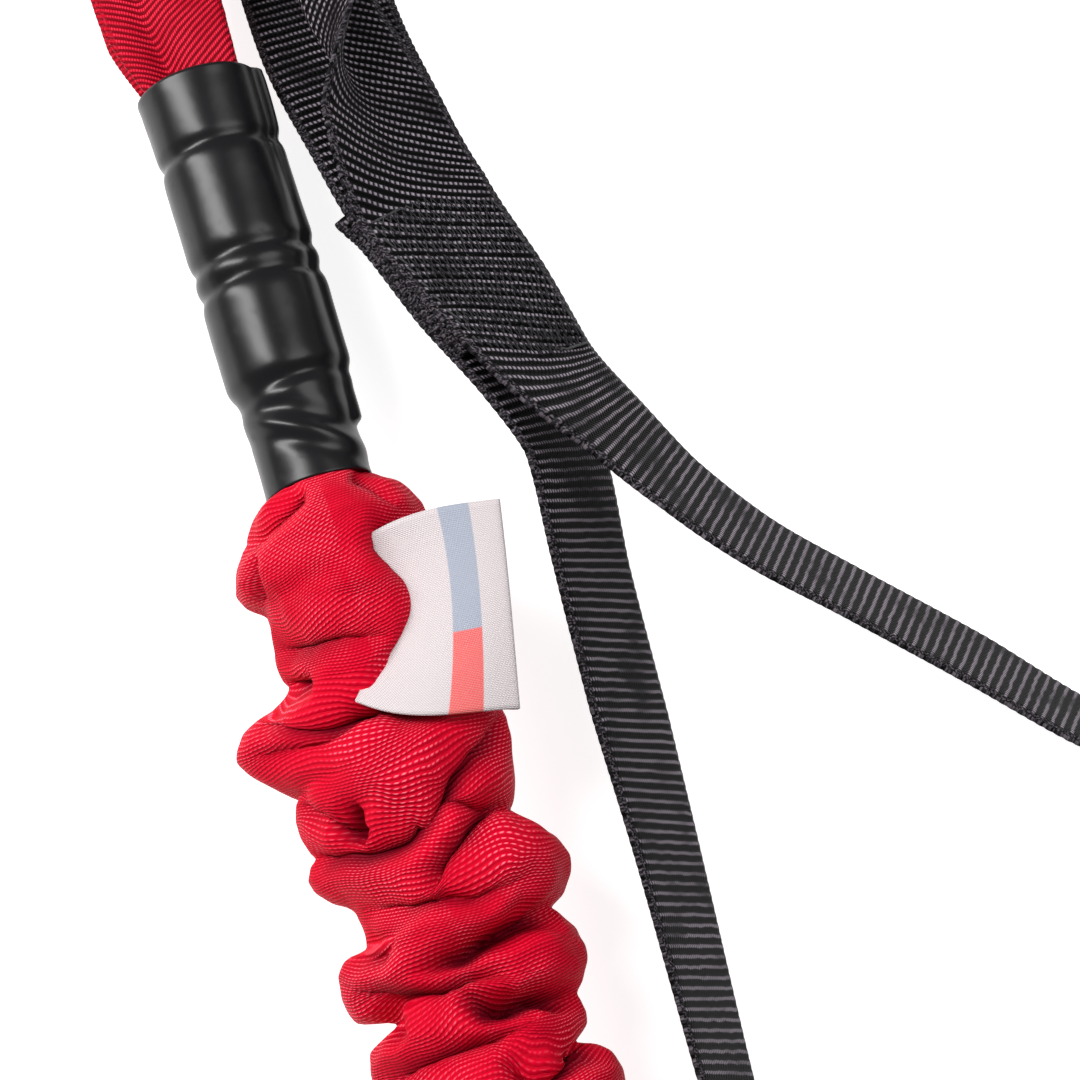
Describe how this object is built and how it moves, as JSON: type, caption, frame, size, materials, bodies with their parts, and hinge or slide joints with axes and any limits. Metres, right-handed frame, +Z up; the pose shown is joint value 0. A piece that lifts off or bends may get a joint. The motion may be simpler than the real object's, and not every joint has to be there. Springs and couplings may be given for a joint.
{
  "type": "bungee training tether",
  "caption": "Elastic training tether in a gathered red fabric sleeve, with crimped ends, webbing eyes, snap connectors and a black webbing handle loop with a foam grip.",
  "frame": {"origin": "middle of the footprint, on the floor the tether lies on", "axes": "+Y along the tether towards the connector that carries the handle, +Z up"},
  "size_m": [0.2068, 0.77, 0.0371],
  "materials": {
    "connector": "satin forged",
    "steel": "plated",
    "red_webbing": "tubular ribbed webbing, slight sheen",
    "red_sleeve": "gathered ribbed tubular fabric, slight sheen",
    "heat_shrink": "satin gloss",
    "elastic": "braided cover",
    "label": "woven satin with two plain stripes",
    "black_webbing": "ribbed webbing",
    "thread": "bonded thread",
    "grip_plastic": "moulded",
    "foam": "closed-cell foam"
  },
  "bodies": {
    "connector_a": {"connector_body_a": "connector", "gate_rivet_a": "steel"},
    "gate_a": {"connector_gate_a": "connector", "gate_spring_a": "steel"},
    "tether": {"eye_webbing_a": "red_webbing", "ferrule_upper_a": "steel", "ferrule_lower_a": "steel", "heat_shrink_a": "heat_shrink", "bungee_core": "elastic", "sleeve": "red_sleeve", "woven_label": "label"},
    "far_end": {"heat_shrink_b": "heat_shrink", "ferrule_lower_b": "steel", "ferrule_upper_b": "steel", "eye_webbing_b": "red_webbing"},
    "connector_b": {"connector_body_b": "connector", "gate_rivet_b": "steel"},
    "gate_b": {"connector_gate_b": "connector", "gate_spring_b": "steel"},
    "handle": {"strap_eye": "black_webbing", "strap_left_leg": "black_webbing", "strap_right_leg": "black_webbing", "strap_in_grip": "black_webbing", "strap_stitching": "thread"},
    "grip": {"grip_tube": "grip_plastic", "grip_foam": "foam", "grip_cap_left": "grip_plastic", "grip_cap_right": "grip_plastic"}
  },
  "joints": [
    {"name": "tether_swing", "type": "hinge", "parent": "connector_a", "child": "tether", "pos_m": [-0.06656, 0.275, 0.00814], "axis": [-1, 0, 0], "range_deg": [0, 90]},
    {"name": "stretch", "type": "slide", "parent": "tether", "child": "far_end", "axis": [0, -1, 0], "range_m": [0, 0.25], "stiffness_N_per_m": 150, "deforming": ["sleeve", "bungee_core"]},
    {"name": "anchor_swing", "type": "hinge", "parent": "far_end", "child": "connector_b", "pos_m": [-0.06456, -0.275, 0.00814], "axis": [-1, 0, 0], "range_deg": [0, 90]},
    {"name": "handle_swing", "type": "hinge", "parent": "connector_a", "child": "handle", "pos_m": [-0.04276, 0.275, 0.00814], "axis": [-1, 0, 0], "range_deg": [0, 90]},
    {"name": "grip_roll", "type": "hinge", "parent": "handle", "child": "grip", "pos_m": [0.03588, -0.01769, 0.01864], "axis": [0.9511, 0.309, 0], "continuous": true},
    {"name": "gate_a_open", "type": "hinge", "parent": "connector_a", "child": "gate_a", "pos_m": [-0.07338, 0.35308, 0.00599], "axis": [0, 0.0276, 0.9996], "range_deg": [0, 25], "stiffness_Nm_per_rad": 0.25, "springref_deg": -20.05},
    {"name": "gate_b_open", "type": "hinge", "parent": "connector_b", "child": "gate_b", "pos_m": [-0.04673, -0.35308, 0.00599], "axis": [0, -0.0276, 0.9996], "range_deg": [0, 25], "stiffness_Nm_per_rad": 0.25, "springref_deg": -20.05}
  ]
}
